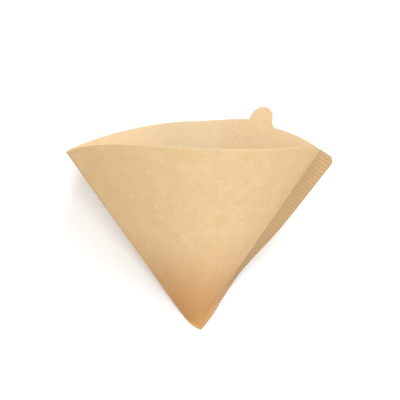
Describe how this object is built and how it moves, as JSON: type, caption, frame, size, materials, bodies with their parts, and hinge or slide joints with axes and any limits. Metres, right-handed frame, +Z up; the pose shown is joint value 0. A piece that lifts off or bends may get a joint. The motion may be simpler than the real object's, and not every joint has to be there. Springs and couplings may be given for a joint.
{
  "type": "paper coffee filter",
  "caption": "Open cone filter of unbleached brown paper, folded along one side and crimped shut along the other, with a rounded pull tab on the rim.",
  "frame": {"origin": "on the floor under the middle of the box around the filter, inside the back wall's flat spot", "axes": "+X across from the fold to the crimped seam, +Y along the back wall from the tip to the mouth, +Z up"},
  "size_m": [0.1372, 0.119, 0.0901],
  "materials": {
    "paper": "matte, unbleached, slightly fibrous"
  },
  "bodies": {
    "root": {"filter_paper": "paper"}
  },
  "joints": []
}
